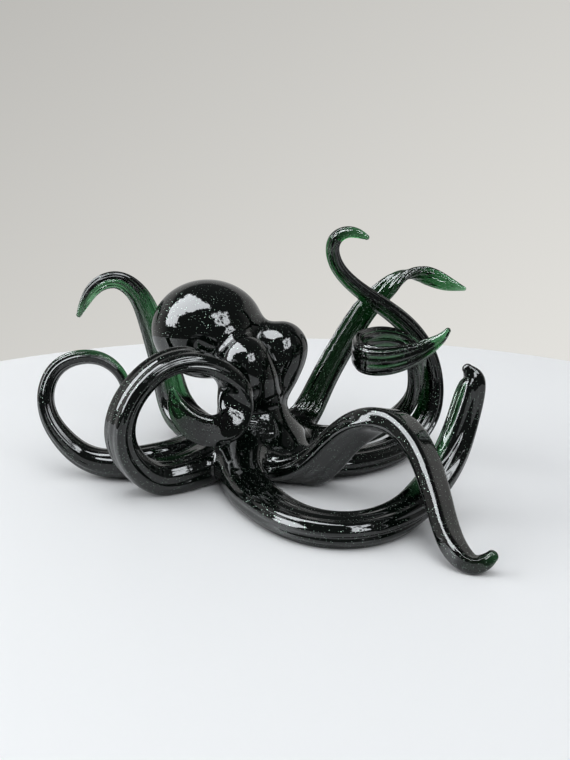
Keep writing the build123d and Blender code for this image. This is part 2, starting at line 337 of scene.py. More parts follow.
@dataclass
class FlutedArm(GlassForm):
    """An arm: a fluted ribbon of glass drawn from the crown to a round tip.

    Attributes:
        name: The CAD piece that the arm stands for.
        reach: How far it reaches from the middle of the crown, in mm.
        rise: How high its underside rises, in mm.
        width: Width at the root, in mm.
        thickness: Thickness at the root, in mm.
        rows: Rows from root to tip: right and back as shares of the reach, the underside as a share of
            the rise, width and thickness as shares of those at the root, and the turn in degrees.
        clearness: How far the light gets into the glass.
        clear_side_of_painted_shade: The side on which the light gets in, as a direction, or none for all
            round; the rest is painted black as shade.
        painted_shade_spread: How far round that side goes: the cosines where the painted shade ends and where
            the glass is fully clear.
        green_from: The stretch over which the root's black glass gives way, in mm from the root.
        painted_shade_on_ribs: Whether the ribs are painted black as shade, so that the light only gets in
            between them.
        green_tip: The stretch before the tip that is clear all round, in mm, and fully so in its last third.
        body_green: How clear the thin glass is before that stretch, from 0 to 1.
        tip_green: How clear it is in that stretch.
        absorption: How fast the glass absorbs light, per metre.
        ribs_from: The stretch over which the ribs rise, in mm from the root.
        ribs_to: The stretch over which they fade, in mm from the tip.
        groove_share: Depth of the grooves as a share of the section.
        squareness: How square the section is, where 2 is an oval.
        step: Distance between rings, in mm.
        around: Points round each ring.
        root_length: The stretch that may be fused to the crown and to the arms beside, in mm.
        root_fade: The end of that stretch where the joint fades out, in mm.
        tip_rings: Into how many steps the round tip is divided.
        thinnest: The least half width and half thickness, in mm.
        painted_shade_groove_depths: How deep in a groove the painted shade ends and the glass is fully clear,
            as shares of its depth.
        seed: Makes the flutes of each arm vary in their own way.
        slot: The material slot of the CAD piece.
    """

    name: str
    reach: float
    rise: float
    width: float
    thickness: float
    rows: Sequence[tuple[float, ...]]
    clearness: Clearness = Clearness.DENSE
    clear_side_of_painted_shade: tuple[float, float, float] | None = None
    painted_shade_spread: tuple[float, float] = (-0.25, 0.35)
    green_from: tuple[float, float] = (11.0, 22.0)
    painted_shade_on_ribs: bool = False
    green_tip: float = 9.0
    body_green: float = 1.0
    tip_green: float = 1.0
    absorption: float = BLACK_GLASS
    ribs_from: tuple[float, float] = (6.0, 24.0)
    ribs_to: tuple[float, float] = (-1.0, 7.0)
    groove_share: float = 0.055
    squareness: float = 2.3
    step: float = 0.36
    around: int = 120
    root_length: float = 27.0
    root_fade: float = 6.0
    tip_rings: int = 9
    thinnest: float = 0.3
    painted_shade_groove_depths: tuple[float, float] = (0.10, 0.60)
    seed: int = 1
    slot: Slot = Slot.ARM_GLASS

    def __post_init__(self) -> None:
        """Work out the sections once."""
        self.flutes = Flutes(self.groove_share, self.squareness, self.seed)
        self.sections = self.lay_sections()
        self.root = np.flatnonzero(self.sections.along <= self.root_length)

    def lay_sections(self) -> Sections:
        """Place the cross-sections along the spline through the rows.

        Returns:
            The sections from root to tip.
        """
        right, back, underside, width_share, thickness_share, turn = np.array(self.rows, float).T
        width, thickness = self.width * width_share, self.thickness * thickness_share
        lean = np.radians(turn)
        half_height = np.hypot(width / 2 * np.sin(lean), thickness / 2 * np.cos(lean))
        line = np.column_stack((
            self.reach * right,
            self.reach * back,
            half_height + self.rise * underside,
            width / 2,
            thickness / 2,
            lean,
        ))
        knots = lengths_along(line[:, :3])
        at = np.linspace(0, knots[-1], int(knots[-1] / self.step))
        path = natural_spline(knots, line, at)
        centre = path[:, :3]
        heading = unit(np.gradient(centre, axis=0))
        side = unit(np.cross(heading[0], (0.0, 0.0, 1.0)))
        sides = []
        for direction in heading:
            side = unit(side - direction * (side @ direction))
            sides.append(side)
        side = np.array(sides)
        up = np.cross(side, heading)
        cosine, sine = np.cos(path[:, 5:]), np.sin(path[:, 5:])
        half_width, half_thickness = np.maximum(path[:, 3:5], self.thinnest).T
        depth = smooth_step(at, *self.ribs_from) * smooth_step(knots[-1] - at, *self.ribs_to)
        return Sections(
            centre, heading, side * cosine + up * sine, up * cosine - side * sine,
            half_width, half_thickness, at, depth,
        )

    def skin(self) -> Skin:
        """Rings round every section, then a round tip.

        Returns:
            The skin of the arm before it is fused.
        """
        lay = self.sections
        angle = angles_round(self.around)
        dome = np.linspace(0, math.pi / 2, self.tip_rings + 1)[1:-1]
        tip_radius = (lay.half_width[-1] + lay.half_thickness[-1]) / 2
        grown = np.concatenate((np.ones(len(lay.along)), np.cos(dome)))
        last = np.concatenate((np.arange(len(lay.along)), np.full(len(dome), len(lay.along) - 1)))
        ahead = np.concatenate((np.zeros(len(lay.along)), tip_radius * np.sin(dome)))
        factor = self.flutes.factor(angle[None, :], lay.along[last][:, None], lay.depth[last][:, None])
        across = (lay.half_width[last] * grown)[:, None] * np.cos(angle) * factor
        through = (lay.half_thickness[last] * grown)[:, None] * np.sin(angle) * factor
        centre = lay.centre[last] + lay.heading[last] * ahead[:, None]
        rings = (
            centre[:, None]
            + lay.wide[last][:, None] * across[..., None]
            - lay.thin[last][:, None] * through[..., None]
        )
        tip = lay.centre[-1] + lay.heading[-1] * tip_radius
        clear = self.clearness_and_painted_shade(unit(rings - centre[:, None]), angle, last)
        along = lay.along[last] + ahead
        return Skin(rings, np.vstack((lay.centre[0], tip)), clear, along)

    def clearness_and_painted_shade(self, outward: Array, angle: Array, section: Array) -> Array:
        """How clear the glass is at each point of the skin, with painted shade where an arm is turned from
        its clear side or on its ribs.

        Args:
            outward: The direction of each point from the middle of its ring.
            angle: The angle of each point round its ring.
            section: The section that each ring belongs to.

        Returns:
            From 0 for black to 1 for clear.
        """
        lay = self.sections
        black, clear = self.clearness.value
        thin = smooth_step(lay.half_thickness, black, clear) * smooth_step(lay.along, *self.green_from)
        side = np.ones(outward.shape[:2])
        # Painted shade: the glass turned away from the clear side is painted black.
        if self.clear_side_of_painted_shade is not None:
            side = side * smooth_step(outward @ unit(np.array(self.clear_side_of_painted_shade, float)), *self.painted_shade_spread)
        # Painted shade: the ribs are painted black and only the grooves stay clear.
        if self.painted_shade_on_ribs:
            groove = np.cos(self.flutes.lobes * angle / 2) ** 2
            side = side * smooth_step(groove, *self.painted_shade_groove_depths)
        at_tip = smooth_step(lay.along[-1] - lay.along, self.green_tip, self.green_tip / 3)[section]
        green = np.maximum(self.body_green * side * (1 - at_tip[:, None]), self.tip_green * at_tip[:, None])
        return thin[section][:, None] * green

    def foothold(self, points: Array) -> Array:
        """The nearest section of the root to each point.

        Args:
            points: Points in mm.

        Returns:
            The number of a section for each point.
        """
        centre = self.sections.centre[self.root]
        square = (centre ** 2).sum(1)[None, :] - 2 * points @ centre.T
        return self.root[np.argmin(square, axis=1)]

    def distance(self, points: Array, foothold: Array) -> Array:
        """Signed distance from the fluted skin of the root, capped where the root begins.

        Args:
            points: Points in mm.
            foothold: The section nearest to each.

        Returns:
            Distances in mm, negative inside.
        """
        lay = self.sections
        offset = points - lay.centre[foothold]
        ahead = (offset * lay.heading[foothold]).sum(1)
        across = (offset * lay.wide[foothold]).sum(1)
        through = -(offset * lay.thin[foothold]).sum(1)
        along = lay.along[foothold] + ahead
        half_width = np.interp(along, lay.along, lay.half_width)
        half_thickness = np.interp(along, lay.along, lay.half_thickness)
        depth = np.interp(along, lay.along, lay.depth)
        angle = np.arctan2(through / half_thickness, across / half_width)
        factor = self.flutes.factor(angle, along, depth)
        half_width, half_thickness = half_width * factor, half_thickness * factor
        near = np.hypot(across / half_width, through / half_thickness)
        steep = np.hypot(across / half_width ** 2, through / half_thickness ** 2)
        aside = near * (near - 1) / np.maximum(steep, SHALLOWEST)
        return np.where(along < 0, np.maximum(aside, -along), aside)

    def may_fuse(self, skin: Skin) -> Array:
        """Only the root may be fused, and less toward its end."""
        return skin.spread(smooth_step(skin.along, self.root_length, self.root_length - self.root_fade))


@dataclass
class TurnedForm(GlassForm):
    """A round form whose flank is turned about an axis.

    Attributes:
        name: The CAD piece that the form stands for.
        foot: The point on the axis where the flank starts, in mm.
        axis: The axis as a vector from the foot to the top, in mm.
        flank: Points of the flank from foot to top: distance from the axis and height along it, in mm.
        shift: How far the axis has moved aside at each point of the flank, in mm.
        lean: The level direction in which it has moved.
        around: Points round each ring.
        ring_count: How many rings the skin has.
    """

    name: str
    foot: Array
    axis: Array
    flank: Array
    shift: Array
    lean: tuple[float, float, float] = (1.0, 0.0, 0.0)
    around: int = 220
    ring_count: int = 150

    def __post_init__(self) -> None:
        """Set up the axes of the form."""
        self.up = unit(self.axis)
        self.side = unit(np.cross(self.up, (0.0, 1.0, 0.0)))
        self.front = np.cross(self.up, self.side)

    def skin(self) -> Skin:
        """Rings from the foot to the top.

        Returns:
            The skin of the form before it is fused.
        """
        length = lengths_along(self.flank)
        at = np.linspace(0, length[-1], self.ring_count + 1)[:-1]
        out = np.interp(at, length, self.flank[:, 0])
        up = np.interp(at, length, self.flank[:, 1])
        moved = np.interp(up, self.flank[:, 1], self.shift)
        angle = angles_round(self.around)
        centre = self.foot + self.up * up[:, None] + np.outer(moved, self.lean)
        rings = (
            centre[:, None]
            + self.side * (out[:, None] * np.cos(angle))[..., None]
            + self.front * (out[:, None] * np.sin(angle))[..., None]
        )
        top = self.foot + self.up * self.flank[-1, 1] + np.multiply(self.shift[-1], self.lean)
        return Skin(rings, np.vstack((centre[0], top)), np.zeros(rings.shape[:2]), at)

    def flat(self, points: Array) -> tuple[Array, Array]:
        """Turn points into distance from the axis and height along it.

        Args:
            points: Points in mm.

        Returns:
            Distances and heights.
        """
        offset = points - self.foot
        up = offset @ self.up
        offset = offset - up[:, None] * self.up
        offset -= np.outer(np.interp(up, self.flank[:, 1], self.shift), self.lean)
        return np.linalg.norm(offset, axis=1), up

    def foothold(self, points: Array) -> Array:
        """The nearest stretch of the flank to each point.

        Args:
            points: Points in mm.

        Returns:
            The number of a stretch for each point.
        """
        out, up = self.flat(points)
        middle = (self.flank[1:] + self.flank[:-1]) / 2
        square = (out[:, None] - middle[:, 0]) ** 2 + (up[:, None] - middle[:, 1]) ** 2
        return np.argmin(square, axis=1)

    def distance(self, points: Array, foothold: Array) -> Array:
        """Signed distance from the turned flank.

        Args:
            points: Points in mm.
            foothold: The stretch of the flank nearest to each.

        Returns:
            Distances in mm, negative inside.
        """
        out, up = self.flat(points)
        start, stretch = self.flank[foothold], self.flank[foothold + 1] - self.flank[foothold]
        share = (out - start[:, 0]) * stretch[:, 0] + (up - start[:, 1]) * stretch[:, 1]
        share = np.clip(share / (stretch ** 2).sum(1), 0, 1)
        gap = np.hypot(out - start[:, 0] - share * stretch[:, 0], up - start[:, 1] - share * stretch[:, 1])
        edge = np.interp(up, self.flank[:, 1], self.flank[:, 0])
        inside = (out < edge) & (up > self.flank[0, 1]) & (up < self.flank[-1, 1])
        return np.where(inside, -gap, gap)


def turned_flank(shares: Sequence[tuple[float, float]], radius: float, height: float, detail: int) -> Array:
    """A smooth flank that closes level at the top.

    Args:
        shares: Distance from the axis as a share of the radius, and height as a share of the height.
        radius: Largest radius in mm.
        height: Height in mm.
        detail: How many points to give.

    Returns:
        Points of the flank from foot to top, in mm.
    """
    corners = [(out * radius, up * height) for out, up in shares]
    beyond = (-corners[-2][0], corners[-2][1])
    corners = np.array(corners + [beyond])
    knots = lengths_along(corners)
    flank = natural_spline(knots, corners, np.linspace(0, knots[-2], detail))
    flank[-1, 0] = 0.0
    flank[:, 1] = np.maximum.accumulate(flank[:, 1])
    return flank


@dataclass
class Head:
    """The mantle, the two eyes and the crown, with the sizes of the CAD model in mm.

    Attributes:
        mantle_length: Length of the mantle.
        mantle_girth: Width of the mantle across its length.
        mantle_middle: Its middle.
        front_eye_radius: Largest radius of the front eye.
        back_eye_radius: Largest radius of the back eye.
        front_eye_foot: Where the front eye starts in the neck.
        front_eye_top: Where it ends.
        back_eye_foot: Where the back eye starts in the neck.
        back_eye_top: Where it ends.
        crown_radius: Radius of the crown.
        crown_height: Height of the crown.
        neck_offset: How far the neck stands off the middle of the foot.
        neck_lean: The level direction in which it does.
        detail: Points of each flank.
        mantle_rings: Rings of the mantle's skin.
        crown_around: Points round each ring of the crown's.
        ball_shares: The front eye's flank: distance from the axis and height as shares of its own.
        pear_shares: The back eye's flank, in the same way.
        crown_shares: The crown's flank: height, distance from the axis, and how far it has moved aside.
    """

    mantle_length: float = 26.5
    mantle_girth: float = 23.4
    mantle_middle: tuple[float, float, float] = (-10.25, 7.0, 30.35)
    front_eye_radius: float = 6.7
    back_eye_radius: float = 6.4
    front_eye_foot: tuple[float, float, float] = (1.2, -2.4, 14.6)
    front_eye_top: tuple[float, float, float] = (-2.4, -4.8, 31.3)
    back_eye_foot: tuple[float, float, float] = (3.1, 1.0, 14.2)
    back_eye_top: tuple[float, float, float] = (8.9, 6.2, 32.2)
    crown_radius: float = 12.6
    crown_height: float = 17.4
    neck_offset: float = 3.2
    neck_lean: tuple[float, float, float] = (0.84, -0.54, 0.0)
    detail: int = 140
    mantle_rings: int = 190
    crown_around: int = 280
    ball_shares: tuple[tuple[float, float], ...] = (
        (0.25, 0.00), (0.78, 0.12), (1.00, 0.36), (0.96, 0.61), (0.75, 0.84), (0.00, 1.00),
    )
    pear_shares: tuple[tuple[float, float], ...] = (
        (0.56, 0.00), (0.78, 0.20), (0.95, 0.44), (0.99, 0.65), (0.78, 0.87), (0.00, 1.00),
    )
    crown_shares: tuple[tuple[float, float, float], ...] = (
        (-0.20, 0.72, 0.00), (0.00, 0.86, 0.00), (0.15, 1.00, 0.00), (0.30, 1.02, 0.05),
        (0.47, 0.90, 0.25), (0.64, 0.64, 0.60), (0.82, 0.40, 0.92), (1.00, 0.340, 1.00),
    )

    def mantle(self) -> TurnedForm:
        """An egg lying along X.

        Returns:
            The mantle.
        """
        angle = np.linspace(0, math.pi, self.detail)
        half = self.mantle_length / 2
        flank = np.column_stack((self.mantle_girth / 2 * np.sin(angle), half - half * np.cos(angle)))
        foot = np.array(self.mantle_middle) - (half, 0.0, 0.0)
        axis = np.array((self.mantle_length, 0.0, 0.0))
        still = np.zeros(self.detail)
        return TurnedForm("mantle", foot, axis, flank, still, ring_count=self.mantle_rings)

    def eye(self, name: str, shares: Sequence[tuple[float, float]], radius: float, foot: tuple[float, ...],
            top: tuple[float, ...]) -> TurnedForm:
        """A drop of glass standing in the neck.

        Args:
            name: The CAD piece.
            shares: Its flank as shares of the radius and of the height.
            radius: Its largest radius, in mm.
            foot: Where it starts, in mm.
            top: Where it ends, in mm.

        Returns:
            The drop.
        """
        axis = np.subtract(top, foot)
        flank = turned_flank(shares, radius, float(np.linalg.norm(axis)), self.detail)
        return TurnedForm(name, np.array(foot), axis, flank, np.zeros(self.detail))

    def crown(self) -> TurnedForm:
        """The flared foot drawn in to the neck.

        Returns:
            The crown.
        """
        table = np.array(self.crown_shares)
        knots = table[:, 0]
        at = np.linspace(knots[0], knots[-1], self.detail)
        smooth = natural_spline(knots, table[:, 1:], at)
        flank = np.column_stack((self.crown_radius * smooth[:, 0], self.crown_height * at))
        axis = np.array((0.0, 0.0, self.crown_height))
        shift = self.neck_offset * smooth[:, 1]
        return TurnedForm("crown", np.zeros(3), axis, flank, shift, self.neck_lean, self.crown_around)

    def forms(self) -> list[GlassForm]:
        """Make all four forms.

        Returns:
            The mantle, the front eye, the back eye and the crown.
        """
        return [
            self.mantle(),
            self.eye("front_eye", self.ball_shares, self.front_eye_radius, self.front_eye_foot,
                     self.front_eye_top),
            self.eye("back_eye", self.pear_shares, self.back_eye_radius, self.back_eye_foot,
                     self.back_eye_top),
            self.crown(),
        ]


def soft_union(first: Array, second: Array, fillet: Array | float) -> Array:
    """Join two distances with a round fillet.

    Args:
        first: Signed distances from one surface.
        second: Signed distances from the other.
        fillet: How wide the fillet is, in the same unit.

    Returns:
        Signed distances from the joined surface.
    """
    share = np.clip(1 - np.abs(first - second) / fillet, 0, 1)
    return np.minimum(first, second) - share * share * fillet / 4


@dataclass
class FusedGlass:
    """The one flowing surface that all forms share where the hot glass was fused.

    Attributes:
        forms: The pieces of glass, first the mantle, the front eye and the back eye.
        drops: How many of them flow together in saddles of their own: these first three.
        softness: How far the fillets flow where the arms and the crown meet, in mm.
        saddle: Width of the fillet between the mantle and the back eye, in mm.
        cheek: Width of the fillet between the mantle and the front eye's far side, in mm.
        crease: Width of the fillet between the two eyes, in mm.
        cheek_side: How much nearer the mantle than the back eye is where the cheek begins and is full.
        reach: How near another form has to be to change a skin, in mm.
        overlap: How far a skin follows its neighbour's before it dives under, in mm.
        dive: How deep it lies under its neighbour at the end of the overlap, in mm.
        passes: How many times each point is moved toward the surface.
        stride: The furthest that a point moves in one pass, in mm.
        probe: Distance between the samples that give the slope, in mm.
        least_slope: The least square of the slope that a stride is reckoned with.
    """

    forms: list[GlassForm]
    drops: int = 3
    softness: float = 1.4
    saddle: float = 4.4
    cheek: float = 3.0
    crease: float = 0.5
    cheek_side: tuple[float, float] = (0.5, 5.0)
    reach: float = 6.0
    overlap: float = 1.2
    dive: float = 0.2
    passes: int = 6
    stride: float = 0.6
    probe: float = 0.04
    least_slope: float = 0.3

    def level(self, points: Array, footholds: dict[int, Array]) -> Array:
        """Soft union of the forms that have footholds.

        Args:
            points: Points in mm.
            footholds: The foothold of the points on each form, under the form's number.

        Returns:
            Signed distance from the flowing surface in mm.
        """
        gaps = {index: self.forms[index].distance(points, held) for index, held in footholds.items()}
        mantle, front_eye, back_eye = (gaps.pop(index) for index in range(self.drops))
        body = soft_union(mantle, back_eye, self.saddle)
        toward_mantle = smooth_step(back_eye - mantle, *self.cheek_side)
        body = soft_union(body, front_eye, self.crease + (self.cheek - self.crease) * toward_mantle)
        nearness = -np.array([body, *gaps.values()]) / self.softness
        top = nearness.max(axis=0)
        return -self.softness * (top + np.log(np.exp(nearness - top).sum(axis=0)))

    def slope(self, points: Array, footholds: dict[int, Array]) -> Array:
        """Slope of the level at each point, from samples at the corners of a tetrahedron round it.

        Args:
            points: Points in mm.
            footholds: The foothold of the points on each form, under the form's number.

        Returns:
            The slope at each point, of length 1 in open space.
        """
        corners = np.array(((1, -1, -1), (-1, -1, 1), (-1, 1, -1), (1, 1, 1)), float)
        total = np.zeros_like(points)
        for corner in corners:
            total += corner * self.level(points + corner * self.probe, footholds)[:, None]
        return total / (4 * self.probe)

    def draw_on(self, form: GlassForm, skin: Skin) -> Array:
        """Move the points of a skin onto the flowing surface wherever another form is near.

        Args:
            form: The form that the skin belongs to.
            skin: Its skin.

        Returns:
            The points of the skin in mm, moved where they had to be.
        """
        points = skin.points()
        strength = form.may_fuse(skin)
        free = np.flatnonzero(strength > 0)
        gaps = np.array([
            np.full(len(free), np.inf) if other is form
            else other.distance(points[free], other.foothold(points[free]))
            for other in self.forms
        ])
        near = gaps.min(axis=0)
        flowing = (near < self.reach) & (near > -self.overlap)
        chosen, near = free[flowing], near[flowing]
        beside = [index for index, other in enumerate(self.forms)
                  if index < self.drops or other is form or (gaps[index] < self.reach).any()]
        under = self.dive * np.clip(-near / self.overlap, 0, 1) ** 2
        moved = points[chosen].copy()
        for _ in range(self.passes):
            footholds = {index: self.forms[index].foothold(moved) for index in beside}
            level = self.level(moved, footholds) + under
            slope = self.slope(moved, footholds)
            stride = level / np.maximum((slope ** 2).sum(1), self.least_slope)
            moved -= slope * np.clip(stride, -self.stride, self.stride)[:, None]
        points[chosen] += (moved - points[chosen]) * strength[chosen][:, None]
        points[:, 2] = np.maximum(points[:, 2], 0.0)
        return points


def left_curl_arm() -> FlutedArm:
    """The open ring at the far left.

    Returns:
        The arm, not yet fused.
    """
    return FlutedArm("left_curl_arm", reach=46.5, rise=26.5, width=8.5, thickness=7.0, rows=(
        (-0.085, 0.000, 0.060, 1.00, 1.00, 0),
        (-0.235, -0.020, 0.010, 1.00, 1.08, 0),
        (-0.390, -0.150, 0.000, 0.94, 1.08, 0),
        (-0.545, -0.225, 0.000, 0.87, 1.03, 0),
        (-0.685, -0.230, 0.000, 0.80, 0.94, 0),
        (-0.815, -0.210, 0.075, 0.73, 0.80, 0),
        (-0.920, -0.200, 0.260, 0.66, 0.66, 0),
        (-0.985, -0.180, 0.485, 0.60, 0.53, 0),
        (-0.990, -0.150, 0.690, 0.55, 0.49, 0),
        (-0.935, -0.120, 0.860, 0.52, 0.49, 0),
        (-0.830, -0.100, 0.940, 0.49, 0.47, 0),
        (-0.725, -0.088, 0.920, 0.42, 0.44, 0),
        (-0.648, -0.088, 0.820, 0.35, 0.39, 0),
        (-0.615, -0.098, 0.700, 0.28, 0.32, 0),
        (-0.620, -0.118, 0.605, 0.15, 0.18, 0),
    # Painted shade: the glass turned away from the given side is painted black.
    ), clearness=Clearness.HALF_CLEAR, clear_side_of_painted_shade=(0.40, 0.60, 0.70), painted_shade_spread=(-0.15, 0.35),
        green_from=(54.0, 66.0), green_tip=4.0, body_green=0.6, tip_green=0.4, absorption=900.0, seed=2)


def front_loop_arm() -> FlutedArm:
    """The large ring in front of the head, its tip curled inside it.

    Returns:
        The arm, not yet fused.
    """
    return FlutedArm("front_loop_arm", reach=37.0, rise=30.0, width=9.0, thickness=6.6, rows=(
        (-0.070, -0.110, 0.100, 1.00, 1.00, 0),
        (-0.225, -0.280, 0.020, 1.00, 1.12, 0),
        (-0.380, -0.450, 0.000, 1.00, 1.09, 0),
        (-0.535, -0.535, 0.000, 1.00, 1.06, 0),
        (-0.665, -0.620, 0.145, 1.00, 0.95, 0),
        (-0.730, -0.675, 0.365, 0.95, 0.79, 0),
        (-0.710, -0.690, 0.590, 0.87, 0.67, 0),
        (-0.630, -0.662, 0.768, 0.80, 0.64, 0),
        (-0.513, -0.600, 0.890, 0.78, 0.64, 0),
        (-0.370, -0.530, 0.930, 0.78, 0.66, 0),
        (-0.212, -0.475, 0.863, 0.77, 0.66, 14),
        (-0.102, -0.448, 0.716, 0.81, 0.64, 38),
        (-0.078, -0.462, 0.518, 0.88, 0.60, 84),
        (-0.107, -0.525, 0.408, 0.80, 0.56, 108),
        (-0.212, -0.590, 0.400, 0.75, 0.52, 132),
        (-0.335, -0.608, 0.480, 0.67, 0.48, 139),
        (-0.412, -0.597, 0.635, 0.43, 0.40, 140),
        (-0.438, -0.570, 0.775, 0.14, 0.18, 137),
    # Painted shade: the glass turned away from the given side is painted black.
    ), clear_side_of_painted_shade=(-0.6, 0.0, 0.8), green_tip=13.0, tip_green=0.7, ribs_to=(20.0, 42.0),
        squareness=3.9, seed=5)


def back_left_arm() -> FlutedArm:
    """The hooked arm behind the mantle.

    Returns:
        The arm, not yet fused.
    """
    return FlutedArm("back_left_arm", reach=44.0, rise=40.0, width=8.5, thickness=6.0, rows=(
        (-0.110, 0.115, 0.070, 1.00, 1.00, 0),
        (-0.265, 0.270, 0.010, 1.04, 1.00, 20),
        (-0.385, 0.385, 0.030, 1.08, 0.92, 45),
        (-0.450, 0.455, 0.110, 1.04, 0.87, 60),
        (-0.490, 0.477, 0.285, 0.92, 0.83, 60),
        (-0.537, 0.480, 0.495, 0.80, 0.77, 60),
        (-0.587, 0.477, 0.690, 0.71, 0.70, 60),
        (-0.652, 0.455, 0.860, 0.59, 0.63, 50),
        (-0.757, 0.410, 0.955, 0.49, 0.55, 30),
        (-0.850, 0.365, 0.935, 0.42, 0.50, 20),
        (-0.915, 0.340, 0.855, 0.31, 0.38, 10),
        (-0.950, 0.318, 0.790, 0.15, 0.20, 0),
    # Painted shade: the glass turned away from the given side is painted black.
    ), clearness=Clearness.CLEAREST, clear_side_of_painted_shade=(0.45, 0.0, -0.9), green_tip=5.0, tip_green=0.3,
        absorption=620.0, groove_share=0.10, squareness=2.6, seed=7)


def back_right_arm() -> FlutedArm:
    """The leaning arm behind at the right.

    Returns:
        The arm, not yet fused.
    """
    return FlutedArm("back_right_arm", reach=55.0, rise=40.5, width=8.0, thickness=6.0, rows=(
        (0.045, 0.072, 0.070, 1.00, 1.00, 0),
        (0.155, 0.200, 0.025, 0.97, 1.00, -20),
        (0.240, 0.285, 0.095, 0.92, 0.84, -50),
        (0.302, 0.328, 0.245, 0.85, 0.77, -60),
        (0.364, 0.362, 0.402, 0.82, 0.73, -60),
        (0.438, 0.383, 0.575, 0.80, 0.70, -60),
        (0.516, 0.397, 0.738, 0.75, 0.63, -55),
        (0.596, 0.400, 0.868, 0.65, 0.53, -25),
        (0.678, 0.397, 0.955, 0.60, 0.42, 35),
        (0.767, 0.383, 0.944, 0.60, 0.46, 105),
        (0.855, 0.364, 0.918, 0.48, 0.40, 125),
        (0.938, 0.345, 0.916, 0.13, 0.17, 125),
    ), clearness=Clearness.CLEAR, green_tip=15.0, body_green=0.24, tip_green=0.85, groove_share=0.13,
        squareness=2.6, seed=3)


def tall_arm() -> FlutedArm:
    """The tall S at the right, with its hooked tip.

    Returns:
        The arm, not yet fused.
    """
    return FlutedArm("tall_arm", reach=44.0, rise=54.0, width=8.5, thickness=6.0, rows=(
        (0.060, -0.045, 0.025, 1.00, 1.00, 0),
        (0.205, -0.140, 0.000, 1.00, 1.00, 0),
        (0.350, -0.215, 0.000, 0.99, 1.00, 0),
        (0.495, -0.205, 0.000, 0.96, 0.97, 0),
        (0.637, -0.125, 0.000, 0.94, 0.93, 0),
        (0.770, -0.005, 0.008, 0.92, 0.90, 0),
        (0.890, 0.110, 0.053, 0.85, 0.87, 0),
        (0.965, 0.170, 0.142, 0.76, 0.83, 0),
        (0.983, 0.193, 0.255, 0.71, 0.77, 0),
        (0.948, 0.193, 0.392, 0.68, 0.70, 0),
        (0.858, 0.170, 0.514, 0.64, 0.67, 0),
        (0.733, 0.138, 0.612, 0.59, 0.63, 0),
        (0.605, 0.114, 0.692, 0.52, 0.57, 0),
        (0.495, 0.090, 0.775, 0.47, 0.50, 0),
        (0.433, 0.068, 0.863, 0.42, 0.45, 0),
        (0.438, 0.045, 0.948, 0.38, 0.40, 0),
        (0.500, 0.023, 0.984, 0.31, 0.35, 0),
        (0.562, 0.010, 0.981, 0.24, 0.28, 0),
        (0.597, 0.000, 0.974, 0.14, 0.19, 0),
    # Painted shade: the glass turned away from the given side is painted black.
    ), clearness=Clearness.HALF_CLEAR, clear_side_of_painted_shade=(-0.85, 0.0, -0.5), green_tip=8.0, body_green=0.8,
        tip_green=0.5, groove_share=0.11, seed=9)


def coiled_arm() -> FlutedArm:
    """The flat coil at the right, its tip pointing right.

    Returns:
        The arm, not yet fused.
    """
    return FlutedArm("coiled_arm", reach=45.0, rise=35.0, width=8.0, thickness=5.5, rows=(
        (0.055, 0.045, 0.063, 1.00, 1.00, 0),
        (0.200, 0.130, 0.023, 1.00, 1.02, 0),
        (0.353, 0.165, 0.014, 0.97, 0.98, 0),
        (0.512, 0.185, 0.026, 0.90, 0.91, 0),
        (0.660, 0.190, 0.079, 0.82, 0.84, 0),
        (0.768, 0.178, 0.177, 0.78, 0.76, 0),
        (0.834, 0.151, 0.291, 0.75, 0.73, 0),
        (0.862, 0.120, 0.415, 0.75, 0.65, 5),
        (0.866, 0.090, 0.546, 0.75, 0.62, 15),
        (0.846, 0.068, 0.652, 0.75, 0.58, 38),
        (0.786, 0.060, 0.716, 0.75, 0.55, 54),
        (0.696, 0.035, 0.752, 0.78, 0.53, 57),
        (0.597, -0.045, 0.764, 0.80, 0.51, 57),
        (0.537, -0.165, 0.755, 0.83, 0.49, 57),
        (0.551, -0.275, 0.732, 0.86, 0.49, 57),
        (0.616, -0.335, 0.732, 0.82, 0.49, 57),
        (0.716, -0.346, 0.756, 0.75, 0.46, 57),
        (0.802, -0.340, 0.804, 0.60, 0.42, 57),
        (0.880, -0.334, 0.874, 0.42, 0.36, 57),
        (0.940, -0.333, 0.952, 0.23, 0.29, 57),
        (0.958, -0.333, 0.992, 0.15, 0.21, 57),
    # Painted shade: the ribs are painted black, the grooves left clear.
    ), clearness=Clearness.HALF_CLEAR, painted_shade_on_ribs=True, body_green=0.5, tip_green=0.8, groove_share=0.11,
        squareness=2.9, seed=4)


def arched_arm() -> FlutedArm:
    """The arm that arches over to its foot at the front right.

    Returns:
        The arm, not yet fused.
    """
    return FlutedArm("arched_arm", reach=76.0, rise=20.0, width=9.0, thickness=6.0, rows=(
        (0.022, -0.079, 0.090, 1.00, 1.00, 0),
        (0.072, -0.145, 0.000, 1.07, 1.00, 10),
        (0.130, -0.204, 0.000, 1.07, 0.93, 28),
        (0.190, -0.250, 0.105, 1.04, 0.87, 43),
        (0.246, -0.289, 0.375, 0.98, 0.83, 46),
        (0.305, -0.331, 0.670, 0.90, 0.80, 38),
        (0.369, -0.384, 0.858, 0.82, 0.80, 20),
        (0.423, -0.447, 0.850, 0.76, 0.74, 14),
        (0.462, -0.513, 0.700, 0.72, 0.68, 18),
        (0.485, -0.579, 0.505, 0.69, 0.64, 20),
        (0.499, -0.645, 0.315, 0.64, 0.62, 20),
        (0.512, -0.710, 0.155, 0.59, 0.60, 16),
        (0.532, -0.768, 0.042, 0.49, 0.63, 10),
        (0.565, -0.797, 0.002, 0.40, 0.53, 10),
        (0.594, -0.801, 0.052, 0.33, 0.45, 10),
        (0.609, -0.799, 0.115, 0.24, 0.36, 10),
    ), green_tip=6.0, tip_green=0.3, ribs_from=(4.0, 14.0), ribs_to=(48.0, 62.0),
        groove_share=0.07, squareness=4.4, seed=6)


